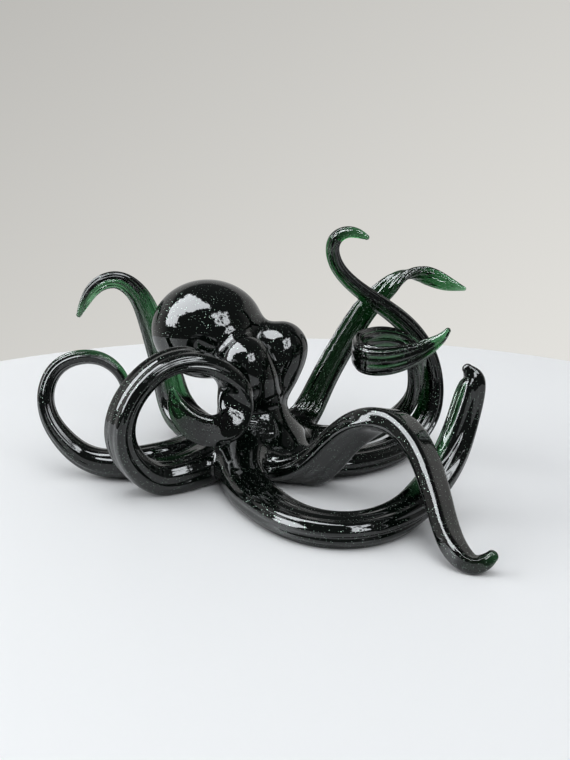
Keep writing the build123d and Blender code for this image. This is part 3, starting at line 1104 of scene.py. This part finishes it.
def sweeping_arm() -> FlutedArm:
    """The front arm that lies on the table in a wide bow and rises at the right.

    Returns:
        The arm, not yet fused.
    """
    return FlutedArm("sweeping_arm", reach=54.0, rise=30.0, width=9.5, thickness=7.0, rows=(
        (-0.025, -0.110, 0.085, 1.00, 1.00, 0),
        (-0.040, -0.250, 0.075, 1.03, 1.00, 0),
        (-0.015, -0.430, 0.018, 1.01, 0.91, 0),
        (0.065, -0.625, 0.000, 0.95, 0.89, 0),
        (0.160, -0.778, 0.000, 0.88, 0.86, 0),
        (0.268, -0.865, 0.000, 0.84, 0.86, 0),
        (0.385, -0.885, 0.000, 0.82, 0.86, 0),
        (0.497, -0.838, 0.000, 0.80, 0.86, 0),
        (0.603, -0.745, 0.030, 0.78, 0.83, -8),
        (0.695, -0.650, 0.120, 0.78, 0.80, -25),
        (0.766, -0.583, 0.262, 0.76, 0.77, -45),
        (0.813, -0.537, 0.422, 0.75, 0.74, -60),
        (0.844, -0.509, 0.597, 0.73, 0.69, -68),
        (0.864, -0.500, 0.752, 0.64, 0.63, -66),
        (0.868, -0.500, 0.875, 0.45, 0.49, -58),
        (0.846, -0.500, 0.968, 0.23, 0.27, -50),
    # Painted shade: the glass turned away from the given side is painted black.
    ), clearness=Clearness.CLEAR, clear_side_of_painted_shade=(-0.48, 0.88, 0.0), painted_shade_spread=(-0.5, -0.15),
        green_from=(66.0, 80.0), green_tip=2.0, tip_green=0.0, absorption=380.0, ribs_from=(14.0, 34.0),
        groove_share=0.07, squareness=3.4, seed=8)


class NodeWiring:
    """Short ways to add and join the nodes of one material.

    Attributes:
        mix_inputs: Where Blender's mix node keeps its share, its first and its second colour.
        mix_output: Where it keeps the mixed colour.
    """

    mix_inputs: tuple[int, int, int] = (0, 6, 7)
    mix_output: int = 2

    def __init__(self, tree: bpy.types.NodeTree) -> None:
        """Start with an empty tree.

        Args:
            tree: The node tree to fill.
        """
        self.tree = tree
        tree.nodes.clear()

    def add(self, kind: str, **settings: object) -> bpy.types.Node:
        """Add a node.

        Args:
            kind: Blender's name of the node type.
            **settings: Its attributes.

        Returns:
            The node.
        """
        node = self.tree.nodes.new(kind)
        for name, value in settings.items():
            setattr(node, name, value)
        return node

    def join(self, source: bpy.types.NodeSocket, target: bpy.types.NodeSocket) -> None:
        """Link an output to an input."""
        self.tree.links.new(source, target)

    def math(self, operation: str, *inputs: object, clamp: bool = False) -> bpy.types.NodeSocket:
        """A math node on sockets or numbers.

        Args:
            operation: Blender's name of the operation.
            *inputs: Sockets to link or numbers to set, in order.
            clamp: Whether the result is kept between 0 and 1.

        Returns:
            The output socket.
        """
        node = self.add("ShaderNodeMath", operation=operation, use_clamp=clamp)
        for index, value in enumerate(inputs):
            if isinstance(value, (int, float)):
                node.inputs[index].default_value = value
            else:
                self.join(value, node.inputs[index])
        return node.outputs[0]

    def vector(self, operation: str, first: object, second: object = None) -> bpy.types.NodeSocket:
        """A vector math node on sockets, a vector or a number.

        Args:
            operation: Blender's name of the operation.
            first: Socket with the first vector.
            second: Socket or value of the second input, or of the scale.

        Returns:
            The output socket.
        """
        node = self.add("ShaderNodeVectorMath", operation=operation)
        self.join(first, node.inputs[0])
        if second is not None:
            target = node.inputs["Scale"] if operation == "SCALE" else node.inputs[1]
            if isinstance(second, (int, float, tuple)):
                target.default_value = second
            else:
                self.join(second, target)
        return node.outputs[0]

    def noise(self, place: bpy.types.NodeSocket, scale: float, detail: float,
              roughness: float = 0.5) -> bpy.types.Node:
        """A noise texture.

        Args:
            place: Socket with the place.
            scale: How fine it is.
            detail: How many finer layers it has.
            roughness: How strong these are.

        Returns:
            The node.
        """
        node = self.add("ShaderNodeTexNoise")
        for socket, value in (("Scale", scale), ("Detail", detail), ("Roughness", roughness)):
            node.inputs[socket].default_value = value
        self.join(place, node.inputs["Vector"])
        return node

    def axes(self, direction: bpy.types.NodeSocket) -> bpy.types.NodeOutputs:
        """Take a vector apart.

        Args:
            direction: Socket with the vector.

        Returns:
            Sockets with its three numbers.
        """
        split = self.add("ShaderNodeSeparateXYZ")
        self.join(direction, split.inputs[0])
        return split.outputs

    def blend(self, share: object, first: object, second: object) -> bpy.types.NodeSocket:
        """Mix two colours.

        Args:
            share: Socket with the share of the second colour.
            first: Socket or colour.
            second: Socket or colour.

        Returns:
            The mixed colour's socket.
        """
        node = self.add("ShaderNodeMix", data_type="RGBA")
        for index, value in zip(self.mix_inputs, (share, first, second)):
            if isinstance(value, tuple):
                node.inputs[index].default_value = value
            else:
                self.join(value, node.inputs[index])
        return node.outputs[self.mix_output]


@dataclass(frozen=True)
class GlassFinish:
    """Polished dark green glass with glitter in it.

    Attributes:
        name: The material's name.
        density: How fast it absorbs, per metre.
        ripple: How far the ripples left by the hand work tilt the skin.
        black_and_painted_shade: Colour where the glass is too thick for light, and of the painted shade on
            the dark sides and ribs of some arms, linear.
        clear: Colour of the clear glass itself, linear.
        tint: Colour that the glass lets through, for the absorption.
        roughness: Roughness of the polished skin.
        refraction: Index of refraction.
        least_clear: The least clearness that lets light in at all.
        fine_cells: Cells of the fine glitter per metre.
        fine_speck: Radius of a fine speck as a share of its cell.
        coarse_cells: Cells of the coarse glitter per metre.
        coarse_speck: Radius of a coarse speck as a share of its cell.
        empty_cells: Share of the cells without a speck.
        flake: Colour of the specks, linear.
        flake_roughness: How much rougher they are than the skin.
        flake_metal: How metallic they are.
        flake_tilt: How far they lean away from the skin.
        ripple_scale: How fine the ripples are.
        ripple_detail: How many finer ripples they carry.
        haze_scale: How fine the patches of duller skin are.
        haze_detail: How many finer patches they carry.
    """

    name: str
    density: float
    ripple: float
    black_and_painted_shade: Colour = (0.0012, 0.0026, 0.0018, 1.0)
    clear: Colour = (0.70, 0.92, 0.76, 1.0)
    tint: Colour = (0.115, 0.508, 0.215, 1.0)
    roughness: float = 0.045
    refraction: float = 1.52
    least_clear: float = 0.004
    fine_cells: float = 3400.0
    fine_speck: float = 0.25
    coarse_cells: float = 900.0
    coarse_speck: float = 0.08
    empty_cells: float = 0.80
    flake: Colour = (0.24, 0.33, 0.27, 1.0)
    flake_roughness: float = 0.24
    flake_metal: float = 0.6
    flake_tilt: float = 0.42
    ripple_scale: float = 170.0
    ripple_detail: float = 1.5
    haze_scale: float = 160.0
    haze_detail: float = 3.0

    def glitter(self, nodes: NodeWiring, place: bpy.types.NodeSocket, scale: float,
                size: float) -> tuple[bpy.types.NodeSocket, bpy.types.NodeSocket]:
        """Round specks, one in each chosen cell.

        Args:
            nodes: The material's nodes.
            place: Socket with the place in metres.
            scale: Cells per metre.
            size: Radius of a speck as a share of a cell.

        Returns:
            Sockets with the speck's mask and with the random colour of its cell.
        """
        cells = nodes.add("ShaderNodeTexVoronoi", feature="F1")
        cells.inputs["Scale"].default_value = scale
        nodes.join(place, cells.inputs["Vector"])
        pick = nodes.add("ShaderNodeSeparateColor")
        nodes.join(cells.outputs["Color"], pick.inputs[0])
        near = nodes.math("LESS_THAN", cells.outputs["Distance"], size)
        chosen = nodes.math("GREATER_THAN", pick.outputs[0], self.empty_cells)
        return nodes.math("MULTIPLY", near, chosen), cells.outputs["Color"]

    def tilted(self, nodes: NodeWiring, place: bpy.types.NodeSocket, lean: bpy.types.NodeSocket,
               flake: bpy.types.NodeSocket) -> bpy.types.NodeSocket:
        """The skin's normal, rippled a little, and leaning a random way at each flake of glitter.

        Args:
            nodes: The material's nodes.
            place: Socket with the place in metres.
            lean: Socket with a random colour for each flake.
            flake: Socket with the mask of the flakes.

        Returns:
            The socket with the normal.
        """
        ripples = nodes.noise(place, self.ripple_scale, self.ripple_detail)
        normal = nodes.add("ShaderNodeNewGeometry").outputs["Normal"]
        for colour, share in (
            (ripples.outputs["Color"], self.ripple),
            (lean, nodes.math("MULTIPLY", flake, self.flake_tilt)),
        ):
            aside = nodes.vector("SUBTRACT", colour, (0.5, 0.5, 0.5))
            normal = nodes.vector("ADD", normal, nodes.vector("SCALE", aside, share))
        return nodes.vector("NORMALIZE", normal)

    def make(self) -> bpy.types.Material:
        """Build the material.

        Returns:
            The finished material.
        """
        material = bpy.data.materials.new(self.name)
        material.use_nodes = True
        nodes = NodeWiring(material.node_tree)
        place = nodes.add("ShaderNodeTexCoord").outputs["Object"]
        clearness = nodes.add("ShaderNodeAttribute", attribute_name="clear").outputs["Fac"]

        fine, fine_lean = self.glitter(nodes, place, self.fine_cells, self.fine_speck)
        coarse, coarse_lean = self.glitter(nodes, place, self.coarse_cells, self.coarse_speck)
        glitter = nodes.math("MAXIMUM", fine, coarse)
        lean = nodes.blend(coarse, fine_lean, coarse_lean)

        # Painted shade: where the clear attribute is 0 on the dark sides and ribs of some arms, the glass is
        # painted black.
        glass = nodes.blend(clearness, self.black_and_painted_shade, self.clear)
        colour = nodes.blend(glitter, glass, self.flake)
        lets_light_in = nodes.math("GREATER_THAN", clearness, self.least_clear)
        through = nodes.math("MULTIPLY", lets_light_in, nodes.math("SUBTRACT", 1.0, glitter), clamp=True)

        haze = nodes.noise(place, self.haze_scale, self.haze_detail)
        rough = nodes.math("MULTIPLY_ADD", haze.outputs[0], self.roughness, self.roughness / 2)
        rough = nodes.math("MULTIPLY_ADD", glitter, self.flake_roughness, rough)

        shader = nodes.add("ShaderNodeBsdfPrincipled")
        shader.inputs["IOR"].default_value = self.refraction
        nodes.join(colour, shader.inputs["Base Color"])
        nodes.join(rough, shader.inputs["Roughness"])
        nodes.join(through, shader.inputs["Transmission Weight"])
        nodes.join(nodes.math("MULTIPLY", glitter, self.flake_metal), shader.inputs["Metallic"])
        nodes.join(self.tilted(nodes, place, lean, glitter), shader.inputs["Normal"])
        inside = nodes.add("ShaderNodeVolumeAbsorption")
        inside.inputs["Color"].default_value = self.tint
        inside.inputs["Density"].default_value = self.density
        output = nodes.add("ShaderNodeOutputMaterial")
        nodes.join(shader.outputs[0], output.inputs["Surface"])
        nodes.join(inside.outputs[0], output.inputs["Volume"])
        return material


@dataclass
class Octopus:
    """The whole figurine: its head and its eight arms, fused and dressed in glass.

    Attributes:
        head: The mantle, the eyes and the crown.
        arms: The eight arms.
        body_ripple: How far the hand work's ripples tilt the skin of the head.
        arm_ripple: How far they tilt the skin of the arms.
        finishes: The glass made so far, under its slot and its absorption.
    """

    head: Head
    arms: list[FlutedArm]
    body_ripple: float = 0.08
    arm_ripple: float = 0.16
    finishes: dict[tuple[Slot, float], bpy.types.Material] = field(default_factory=dict)

    def finish(self, form: GlassForm) -> bpy.types.Material:
        """The glass of a piece, made once for each slot and absorption.

        Args:
            form: The piece.

        Returns:
            Its material.
        """
        key = (form.slot, form.absorption)
        if key not in self.finishes:
            ripple = self.arm_ripple if form.slot is Slot.ARM_GLASS else self.body_ripple
            name = form.slot.value.replace("_", " ")
            self.finishes[key] = GlassFinish(name, form.absorption, ripple).make()
        return self.finishes[key]

    def mesh(self, form: GlassForm, skin: Skin, points: Array) -> bpy.types.Object:
        """Make the Blender object of a piece.

        Args:
            form: The piece.
            skin: Its skin, for the faces and the clearness.
            points: Its points in mm.

        Returns:
            The new object, smooth shaded.
        """
        mesh = smooth_mesh(form.name + "_glass", points * MILLIMETRE, skin.faces())
        # The clear attribute also carries the arms' painted shade.
        clear = mesh.attributes.new("clear", "FLOAT", "POINT")
        clear.data.foreach_set("value", skin.clearness().astype(np.float32))
        return place_object(form.name + "_glass", mesh)

    def build(self) -> None:
        """Build, fuse, dress and place every piece."""
        forms = self.head.forms() + list(self.arms)
        fused = FusedGlass(forms)
        for form in forms:
            skin = form.skin()
            piece = self.mesh(form, skin, fused.draw_on(form, skin))
            piece.data.materials.append(self.finish(form))
            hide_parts(form.name)
            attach(piece, BODY)
            log.info("%s: %d faces", piece.name, len(piece.data.polygons))


@dataclass(frozen=True)
class SoftLight:
    """A broad soft light that lights the table but doesn't show in the glass.

    Attributes:
        name: The object's name.
        azimuth: Direction as seen from the figurine: 0 toward the camera, 90 to the right, in degrees.
        elevation: Height above the horizon in degrees.
        distance: Distance from the figurine in m.
        width: Width in m.
        height: Height in m.
        radiance: Brightness of its face.
    """

    name: str
    azimuth: float
    elevation: float
    distance: float
    width: float
    height: float
    radiance: float

    def toward(self) -> Vector:
        """The direction from the figurine to the light."""
        turn, tilt = math.radians(self.azimuth), math.radians(self.elevation)
        return Vector((
            math.sin(turn) * math.cos(tilt), -math.cos(turn) * math.cos(tilt), math.sin(tilt),
        ))

    def hang(self, data: bpy.types.ID, target: Vector) -> bpy.types.Object:
        """Put a lamp or a sheet where the light hangs, facing the figurine, out of the camera's sight.

        Args:
            data: The lamp or the sheet's mesh, facing along its own Z.
            target: The point that it faces.

        Returns:
            The new object.
        """
        thing = place_object(self.name, data)
        thing.location = target + self.toward() * self.distance
        thing.rotation_euler = self.toward().to_track_quat("Z", "Y").to_euler()
        thing.visible_camera = False
        return thing

    def build(self, target: Vector) -> None:
        """Hang the light.

        Args:
            target: The point that it faces.
        """
        light = bpy.data.lights.new(self.name, "AREA")
        light.shape = "RECTANGLE"
        light.size, light.size_y = self.width, self.height
        light.energy = self.radiance * math.pi * self.width * self.height
        panel = self.hang(light, target)
        panel.visible_glossy = False
        panel.visible_transmission = False


@dataclass(frozen=True)
class Window(SoftLight):
    """A bright window that shows in the glass, its light broken up by leaves outside.

    Attributes:
        leaf_scale: How fine the leaves are.
        ragged: How far the leaves reach in from the frame.
        hollow: How much of the middle is covered by leaves, as a share of the half width.
        hollow_ragged: How far these leaves reach out.
        crown_of_tree: Where a tree hides the lower right: from how far right, and below which slanting
            line, as its slope and its height. None for no tree.
        margin: How far in from the sheet's edge the frame lies, as a share of the half width.
        leaf_detail: How many finer leaves the leaves carry.
        leaf_roughness: How strong these are.
        tone: Colour of the light.
    """

    leaf_scale: float = 5.0
    ragged: float = 1.2
    hollow: float = -1.0
    hollow_ragged: float = 2.6
    crown_of_tree: tuple[float, float, float] | None = None
    margin: float = 0.12
    leaf_detail: float = 8.0
    leaf_roughness: float = 0.68
    tone: Colour = (0.93, 0.97, 1.0, 1.0)

    def opening(self, nodes: NodeWiring) -> bpy.types.NodeSocket:
        """Where light comes in: 1 in the open and 0 behind the leaves.

        Args:
            nodes: The material's nodes.

        Returns:
            The socket with the mask.
        """
        place = nodes.add("ShaderNodeTexCoord").outputs["Generated"]
        across, up = (nodes.math("MULTIPLY_ADD", axis, 2.0, -1.0) for axis in nodes.axes(place)[:2])
        frame_share = nodes.math("MAXIMUM", nodes.math("ABSOLUTE", across), nodes.math("ABSOLUTE", up))
        leaves = nodes.noise(place, self.leaf_scale, self.leaf_detail, self.leaf_roughness)
        cover = nodes.math("SUBTRACT", leaves.outputs[0], 0.5)
        within = nodes.math("SUBTRACT", 1.0 - self.margin, frame_share)
        inside_frame = nodes.math("GREATER_THAN", nodes.math("MULTIPLY_ADD", cover, self.ragged, within), 0.0)
        beyond = nodes.math("SUBTRACT", frame_share, self.hollow)
        past_hollow = nodes.math("MULTIPLY_ADD", cover, -self.hollow_ragged, beyond)
        opening = nodes.math("MULTIPLY", inside_frame, nodes.math("GREATER_THAN", past_hollow, 0.0))
        if self.crown_of_tree is None:
            return opening
        start, slope, height = self.crown_of_tree
        below = nodes.math("SUBTRACT", nodes.math("MULTIPLY_ADD", across, slope, height), up)
        hidden = nodes.math("MINIMUM", nodes.math("SUBTRACT", across, start), below)
        beside_tree = nodes.math("LESS_THAN", nodes.math("MULTIPLY_ADD", cover, self.ragged, hidden), 0.0)
        return nodes.math("MULTIPLY", opening, beside_tree)

    def build(self, target: Vector) -> None:
        """Hang the window as a lit sheet.

        Args:
            target: The point that it faces.
        """
        x, y = self.width / 2, self.height / 2
        mesh = bpy.data.meshes.new(self.name)
        mesh.from_pydata([(-x, -y, 0), (x, -y, 0), (x, y, 0), (-x, y, 0)], [], [(0, 1, 2, 3)])
        material = bpy.data.materials.new(self.name)
        material.use_nodes = True
        nodes = NodeWiring(material.node_tree)
        glow = nodes.add("ShaderNodeEmission")
        glow.inputs["Color"].default_value = self.tone
        glow.inputs["Strength"].default_value = self.radiance
        sheet = nodes.add("ShaderNodeMixShader")
        nodes.join(self.opening(nodes), sheet.inputs[0])
        nodes.join(nodes.add("ShaderNodeBsdfTransparent").outputs[0], sheet.inputs[1])
        nodes.join(glow.outputs[0], sheet.inputs[2])
        output = nodes.add("ShaderNodeOutputMaterial")
        nodes.join(sheet.outputs[0], output.inputs["Surface"])
        mesh.materials.append(material)
        pane = self.hang(mesh, target)
        pane.visible_diffuse = False
        pane.visible_shadow = False


@dataclass(frozen=True)
class RoundTable:
    """The round white table top with a soft edge.

    Attributes:
        radius: Radius in m.
        thickness: Thickness in m.
        edge: Radius of the soft edge in m.
        middle: Where the middle of the top lies, right and back, in m.
        top_rings: Rings on the flat top, as shares of its radius.
        edge_rings: How many rings the soft edge has, with the last of the top.
        under_ring: The ring underneath, as a share of the flat top's radius.
        around: Points round each ring.
        colour: White, a little cool, linear.
        roughness: Roughness of its satin lacquer.
    """

    radius: float = 0.152
    thickness: float = 0.018
    edge: float = 0.004
    middle: tuple[float, float] = (0.008, -0.028)
    top_rings: tuple[float, ...] = (0.25, 0.5, 0.75, 1.0)
    edge_rings: int = 9
    under_ring: float = 0.5
    around: int = 256
    colour: Colour = (0.85, 0.875, 0.89, 1.0)
    roughness: float = 0.45

    def skin(self) -> Skin:
        """Rings from the middle underneath, round the edge, to the middle of the top.

        Returns:
            The skin of the table top, in m.
        """
        flat = self.radius - self.edge
        bends = np.linspace(0, math.pi / 2, self.edge_rings)[1:]
        bands = [(flat * share, 0.0) for share in self.top_rings]
        bands += [(flat + self.edge * math.sin(bend), self.edge * (math.cos(bend) - 1)) for bend in bends]
        bands += [(self.radius, -self.thickness), (self.under_ring * flat, -self.thickness)]
        turn = angles_round(self.around)
        rings = np.array([
            np.column_stack((
                self.middle[0] + radius * np.cos(turn),
                self.middle[1] + radius * np.sin(turn),
                np.full(self.around, height),
            ))
            for radius, height in reversed(bands)
        ])
        ends = np.array([(*self.middle, -self.thickness), (*self.middle, 0.0)])
        return Skin(rings, ends, np.zeros(rings.shape[:2]), np.zeros(len(rings)))

    def build(self) -> None:
        """Put the table top in the scene."""
        skin = self.skin()
        mesh = smooth_mesh("table_top", skin.points(), skin.faces())
        material = bpy.data.materials.new("white table")
        material.use_nodes = True
        shader = material.node_tree.nodes["Principled BSDF"]
        shader.inputs["Base Color"].default_value = self.colour
        shader.inputs["Roughness"].default_value = self.roughness
        mesh.materials.append(material)
        place_object("table_top", mesh)


@dataclass(frozen=True)
class PaleRoom:
    """The pale wall that the camera sees, and the dimmer room that the glass reflects.

    Attributes:
        wall: Colour of the wall at brightness 1, linear.
        shadow: Colour of the wall at brightness 0, linear.
        wall_upward: How fast the wall gets brighter with height, and how bright it is level.
        wall_rightward: How fast it gets brighter to the right.
        wall_range: The least and the greatest brightness.
        low_room: Colour that the glass reflects from the lower part of the room behind, linear.
        high_room: Colour that it reflects from the upper part, linear.
        room_step: From which height to which the one gives way to the other.
        near_room: Colour that it reflects from the viewer's side, linear.
        room_backward: How fast the viewer's side gives way toward the back, and how far it has at the side.
        fill: Even light that falls on the table and on the glitter, linear.
    """

    wall: Colour = (1.0, 0.985, 0.94, 1.0)
    shadow: Colour = (0.0, 0.0, 0.0, 1.0)
    wall_upward: tuple[float, float] = (-0.45, 0.589)
    wall_rightward: float = 0.265
    wall_range: tuple[float, float] = (0.48, 0.80)
    low_room: Colour = (0.60, 0.60, 0.59, 1.0)
    high_room: Colour = (0.11, 0.11, 0.115, 1.0)
    room_step: tuple[float, float] = (0.765, 0.81)
    near_room: Colour = (0.10, 0.10, 0.105, 1.0)
    room_backward: tuple[float, float] = (1.6, 0.35)
    fill: Colour = (0.42, 0.42, 0.43, 1.0)

    def build(self) -> None:
        """Make it the scene's world."""
        world = bpy.data.worlds.new("pale room")
        bpy.context.scene.world = world
        world.use_nodes = True
        nodes = NodeWiring(world.node_tree)
        right, back, height = nodes.axes(nodes.add("ShaderNodeTexCoord").outputs["Generated"])

        darkest, brightest = self.wall_range
        brightness = nodes.math("MULTIPLY_ADD", height, *self.wall_upward)
        brightness = nodes.math("MULTIPLY_ADD", right, self.wall_rightward, brightness)
        brightness = nodes.math("MAXIMUM", nodes.math("MINIMUM", brightness, brightest), darkest)
        seen = nodes.blend(brightness, self.shadow, self.wall)

        band = nodes.add("ShaderNodeValToRGB")
        colours = (self.low_room, self.high_room)
        for element, position, colour in zip(band.color_ramp.elements, self.room_step, colours):
            element.position = position
            element.color = colour
        nodes.join(nodes.math("MULTIPLY_ADD", height, 0.5, 0.5), band.inputs[0])
        behind = nodes.math("MULTIPLY_ADD", back, *self.room_backward, clamp=True)
        mirrored = nodes.blend(behind, self.near_room, band.outputs[0])

        ray = nodes.add("ShaderNodeLightPath").outputs
        unseen = nodes.blend(ray["Is Diffuse Ray"], mirrored, self.fill)
        background = nodes.add("ShaderNodeBackground")
        nodes.join(nodes.blend(ray["Is Camera Ray"], unseen, seen), background.inputs[0])
        output = nodes.add("ShaderNodeOutputWorld")
        nodes.join(background.outputs[0], output.inputs[0])


@dataclass(frozen=True)
class Studio:
    """The table, the room, the lights and the camera.

    Attributes:
        table: The table top.
        room: The room round it.
        camera_place: Where the camera stands, in m.
        camera_pitch: How far it looks down, in degrees.
        camera_focal_pixels: Its focal length in pixels of the photograph.
        image_width: Width of the photograph in pixels.
        film_width: Width of the camera's film in mm.
        nearest: The nearest that it sees, in m.
        target: The point that all lights face, in m.
    """

    table: RoundTable = RoundTable()
    room: PaleRoom = PaleRoom()
    camera_place: tuple[float, float, float] = (0.0079, -0.255, 0.093)
    camera_pitch: float = 16.0
    camera_focal_pixels: float = 1142.0
    image_width: int = 570
    film_width: float = 36.0
    nearest: float = 0.01
    target: tuple[float, float, float] = (0.0, 0.0, 0.02)

    def lights(self) -> tuple[SoftLight, ...]:
        """Two windows that show in the glass, and three soft lights that don't.

        Returns:
            The lights.
        """
        return (
            Window("left window", azimuth=-55, elevation=45, distance=0.60, width=0.92, height=0.90,
                   radiance=13.0, leaf_scale=9.0, ragged=1.15, crown_of_tree=(-0.17, 1.15, 0.0), margin=0.05),
            Window("right window", azimuth=33, elevation=36, distance=0.60, width=0.42, height=0.44,
                   radiance=12.0, leaf_scale=7.0, ragged=1.7, hollow=0.25, margin=0.32),
            SoftLight("window light", azimuth=-98, elevation=27, distance=1.20, width=1.10, height=0.80,
                      radiance=2.65),
            SoftLight("ceiling light", azimuth=0, elevation=89, distance=1.20, width=0.90, height=0.90,
                      radiance=1.4),
            SoftLight("room light", azimuth=22, elevation=45, distance=1.20, width=0.70, height=0.70,
                      radiance=2.65),
        )

    def camera(self) -> None:
        """The camera at the photograph's angle."""
        data = bpy.data.cameras.new("camera")
        data.sensor_fit = "HORIZONTAL"
        data.sensor_width = self.film_width
        data.lens = self.camera_focal_pixels / self.image_width * self.film_width
        data.clip_start = self.nearest
        camera = place_object("camera", data)
        camera.location = self.camera_place
        camera.rotation_euler = (math.radians(90 - self.camera_pitch), 0.0, 0.0)
        bpy.context.scene.camera = camera

    def build(self) -> None:
        """Set up the whole studio."""
        self.camera()
        self.table.build()
        self.room.build()
        for light in self.lights():
            light.build(Vector(self.target))
            log.info("%s hung", light.name)
        scene = bpy.context.scene
        scene.view_settings.view_transform = "Standard"
        scene.cycles.use_denoising = True
        scene.cycles.caustics_refractive = False
        scene.cycles.caustics_reflective = False


def main() -> None:
    """Build the studio and the figurine, and log how many faces each piece came out with."""
    logging.basicConfig(level=logging.INFO, format="%(name)s: %(message)s")
    Studio().build()
    arms = [
        front_loop_arm(), sweeping_arm(), arched_arm(), tall_arm(),
        left_curl_arm(), coiled_arm(), back_left_arm(), back_right_arm(),
    ]
    Octopus(Head(), arms).build()


if __name__ == "__main__":
    main()
